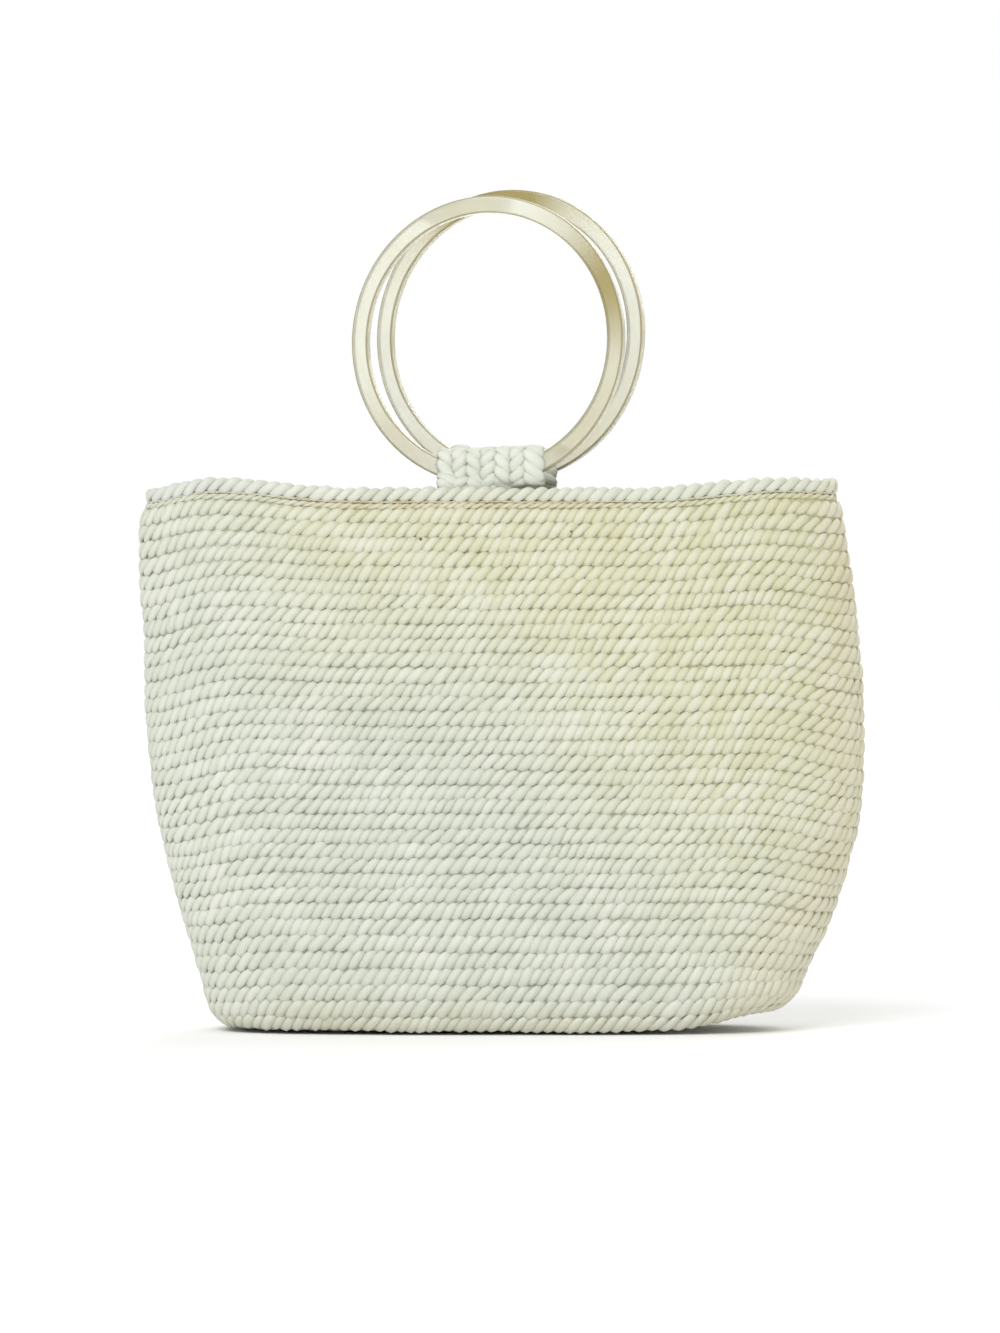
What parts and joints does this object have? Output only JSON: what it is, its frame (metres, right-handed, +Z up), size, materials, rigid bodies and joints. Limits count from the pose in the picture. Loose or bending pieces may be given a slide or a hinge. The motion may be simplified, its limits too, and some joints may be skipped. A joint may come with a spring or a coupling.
{
  "type": "coiled rope handbag with ring handles",
  "caption": "Open-topped handbag wound from twisted straw rope, with a flat oval foot and clear acrylic ring handles held in rope tabs inside the rim.",
  "frame": {"origin": "middle of the bounding box on the ground, under the foot", "axes": "+X along the width to the picture's right, +Y from the picture's front to the back, +Z up through the rings"},
  "size_m": [0.334, 0.096, 0.3871],
  "materials": {
    "straw_rope": "matt twisted straw",
    "rim_rope": "matt twisted straw",
    "tab_rope": "matt twisted straw",
    "ring_acrylic": "polished clear"
  },
  "bodies": {
    "bag": {"bag_body": "straw_rope", "rim_coil": "rim_rope", "tab_front": "tab_rope", "tab_back": "tab_rope"},
    "front_ring": {"ring_front": "ring_acrylic"},
    "back_ring": {"ring_back": "ring_acrylic"}
  },
  "joints": [
    {"name": "front_ring_turn", "type": "hinge", "parent": "bag", "child": "front_ring", "pos_m": [-0.0066, -0.0166, 0.3153], "axis": [0.342, 0.9397, 0], "continuous": true},
    {"name": "back_ring_turn", "type": "hinge", "parent": "bag", "child": "back_ring", "pos_m": [0.0036, 0.0166, 0.3196], "axis": [0.4147, 0.91, 0], "continuous": true}
  ]
}
